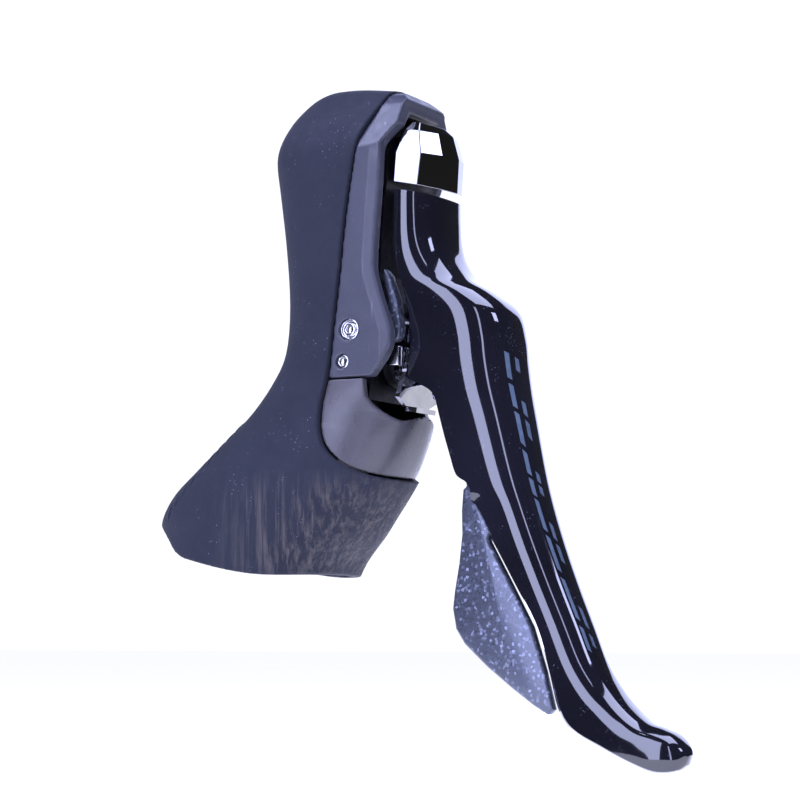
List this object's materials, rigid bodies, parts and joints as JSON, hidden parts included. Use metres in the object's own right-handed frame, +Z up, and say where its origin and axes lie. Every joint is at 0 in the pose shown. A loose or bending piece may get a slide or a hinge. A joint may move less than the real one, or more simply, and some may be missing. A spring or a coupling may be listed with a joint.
{
  "type": "brake shift lever",
  "caption": "Right-hand dual-control brake and shift lever for a drop handlebar, with rubber hood, swinging blade, release paddle and bar clamp.",
  "frame": {"origin": "a point on the handlebar's axis inside the clamp seat", "axes": "+X forwards along the handlebar at the clamp, +Y towards the middle of the bicycle, +Z up the grip to the horn"},
  "size_m": [0.1417, 0.039, 0.1628],
  "materials": {
    "hood_rubber": "matte moulded rubber with fine specks",
    "bracket_composite": "satin moulded composite",
    "cover_plastic": "satin moulded plastic",
    "lever_gloss": "gloss black anodised and lacquered",
    "cap_gloss": "mirror black",
    "release_paint": "metallic grey-blue sparkle paint",
    "carrier_cast": "black cast alloy",
    "polished_steel": "polished",
    "spring_steel": "drawn wire",
    "bush_bronze": "sintered bronze",
    "black_plastic": "moulded"
  },
  "bodies": {
    "bracket": {"hood_cover": "hood_rubber", "bracket_body": "bracket_composite", "lower_unit_cover": "cover_plastic", "clamp_bolt": "polished_steel", "clamp_washer": "polished_steel", "brake_axle": "polished_steel", "cover_screw": "polished_steel", "spring_stop_pin": "polished_steel", "brake_return_spring": "spring_steel", "brake_casing_holder": "black_plastic", "shift_casing_holder": "black_plastic"},
    "clamp": {"clamp_band": "polished_steel", "clamp_nut_plate": "polished_steel"},
    "carrier": {"lever_carrier": "carrier_cast", "axle_bush_outer": "bush_bronze", "axle_bush_inner": "bush_bronze", "unit_front_plate": "polished_steel", "unit_side_cover": "release_paint", "name_plate": "cap_gloss", "shift_axle": "polished_steel", "main_return_spring": "spring_steel", "lever_washer": "polished_steel", "axle_nut": "polished_steel", "hold_pawl_pin": "polished_steel", "feed_pawl_pin": "polished_steel", "reach_screw": "polished_steel", "cap_screw": "polished_steel"},
    "anchor": {"cable_anchor": "polished_steel"},
    "spool": {"cable_spool": "black_plastic", "ratchet_wheel": "polished_steel", "index_plate": "polished_steel"},
    "hold_pawl_arm": {"hold_pawl": "polished_steel"},
    "feed_pawl_arm": {"feed_pawl": "polished_steel"},
    "lever": {"main_lever": "lever_gloss", "lever_bush": "bush_bronze", "release_spring": "spring_steel"},
    "release": {"release_lever": "release_paint"}
  },
  "joints": [
    {"name": "brake_pivot", "type": "hinge", "parent": "bracket", "child": "carrier", "pos_m": [0.0332, 0, 0.0406], "axis": [0, 1, 0], "range_deg": [0, 14], "stiffness_Nm_per_rad": 1, "springref_deg": -17.19},
    {"name": "shift_swing", "type": "hinge", "parent": "carrier", "child": "lever", "pos_m": [0.05, 0, 0.033], "axis": [0.9848, 0, -0.1736], "range_deg": [0, 18], "stiffness_Nm_per_rad": 0.4, "springref_deg": -22.92},
    {"name": "release_swing", "type": "hinge", "parent": "lever", "child": "release", "pos_m": [0.05, 0, 0.033], "axis": [0.9848, 0, -0.1736], "range_deg": [0, 10], "stiffness_Nm_per_rad": 0.2, "springref_deg": -22.92},
    {"name": "spool_index", "type": "hinge", "parent": "carrier", "child": "spool", "pos_m": [0.05, 0, 0.033], "axis": [0.9848, 0, -0.1736], "range_deg": [0, 150]},
    {"name": "hold_pawl_pivot", "type": "hinge", "parent": "carrier", "child": "hold_pawl_arm", "pos_m": [0.04273, -0.0055, 0.04301], "axis": [0.9848, 0, -0.1736], "range_deg": [0, 8], "stiffness_Nm_per_rad": 0.005, "springref_deg": -17.19},
    {"name": "feed_pawl_pivot", "type": "hinge", "parent": "carrier", "child": "feed_pawl_arm", "pos_m": [0.03995, 0.0076, 0.02726], "axis": [0.9848, 0, -0.1736], "range_deg": [0, 8], "stiffness_Nm_per_rad": 0.005, "springref_deg": -17.19},
    {"name": "cable_anchor_pivot", "type": "hinge", "parent": "carrier", "child": "anchor", "pos_m": [0.0334, 0, 0.062], "axis": [0, 1, 0], "range_deg": [-10, 0]},
    {"name": "clamp_slide", "type": "slide", "parent": "bracket", "child": "clamp", "axis": [0, 0, -1], "range_m": [0, 0.002]}
  ],
  "couplings": [
    {"joint": "cable_anchor_pivot", "follows": "brake_pivot", "ratio": -0.7}
  ]
}
